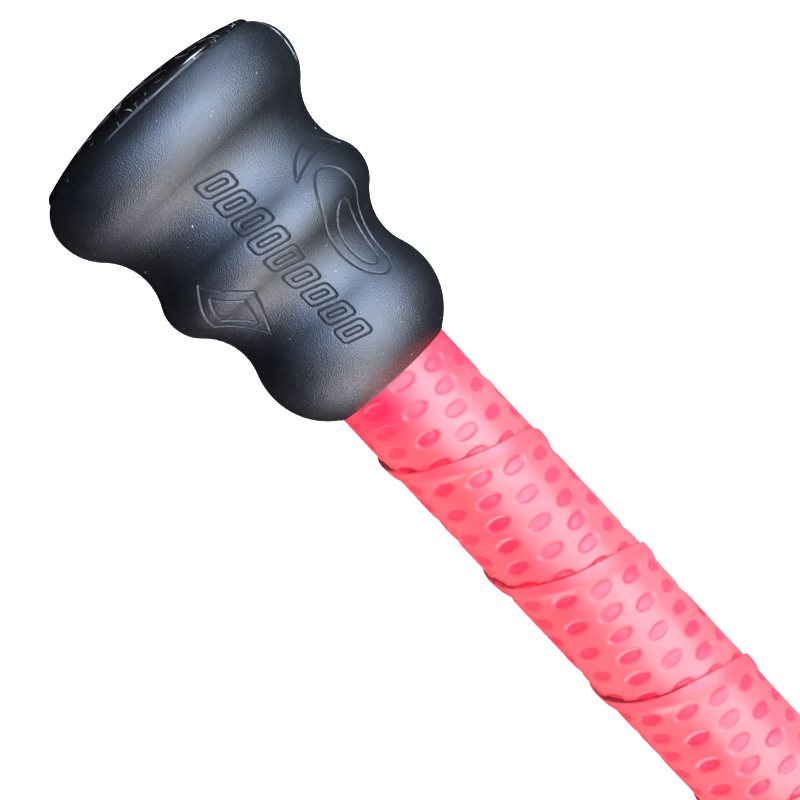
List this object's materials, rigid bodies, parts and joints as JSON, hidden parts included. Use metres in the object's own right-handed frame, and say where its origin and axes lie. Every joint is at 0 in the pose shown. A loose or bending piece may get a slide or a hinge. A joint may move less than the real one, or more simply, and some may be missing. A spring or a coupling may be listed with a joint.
{
  "type": "swing trainer stick",
  "caption": "Slim ball-bat swing trainer with a dimpled tape grip and a finger-grooved sleeve stretched over its domed knob.",
  "frame": {"origin": "middle of the stick's length, on its axis", "axes": "+X along the stick from the knob's dome to the barrel's end, +Z the side that the sleeve's marks face"},
  "size_m": [0.8128, 0.0574, 0.0574],
  "materials": {
    "sleeve_rubber": "matte",
    "knob_gloss": "glossy, scratched",
    "weight_steel": "turned",
    "handle_alloy": "satin black anodised",
    "grip_polymer": "satin, dimpled",
    "finish_tape": "satin",
    "ring_rubber": "matte",
    "bushing_nylon": "matte",
    "barrel_alloy": "satin black anodised",
    "foam": "matte",
    "cap_urethane": "matte"
  },
  "bodies": {
    "root": {"knob_sleeve": "sleeve_rubber", "bat_knob": "knob_gloss", "knob_weight": "weight_steel", "handle_tube": "handle_alloy", "handle_damper": "foam", "grip_tape": "grip_polymer", "finish_tape": "finish_tape", "transition_ring": "ring_rubber", "connection_bushing": "bushing_nylon", "barrel_shell": "barrel_alloy", "barrel_foam": "foam", "barrel_weight": "weight_steel", "barrel_end_cap": "cap_urethane"}
  },
  "joints": []
}
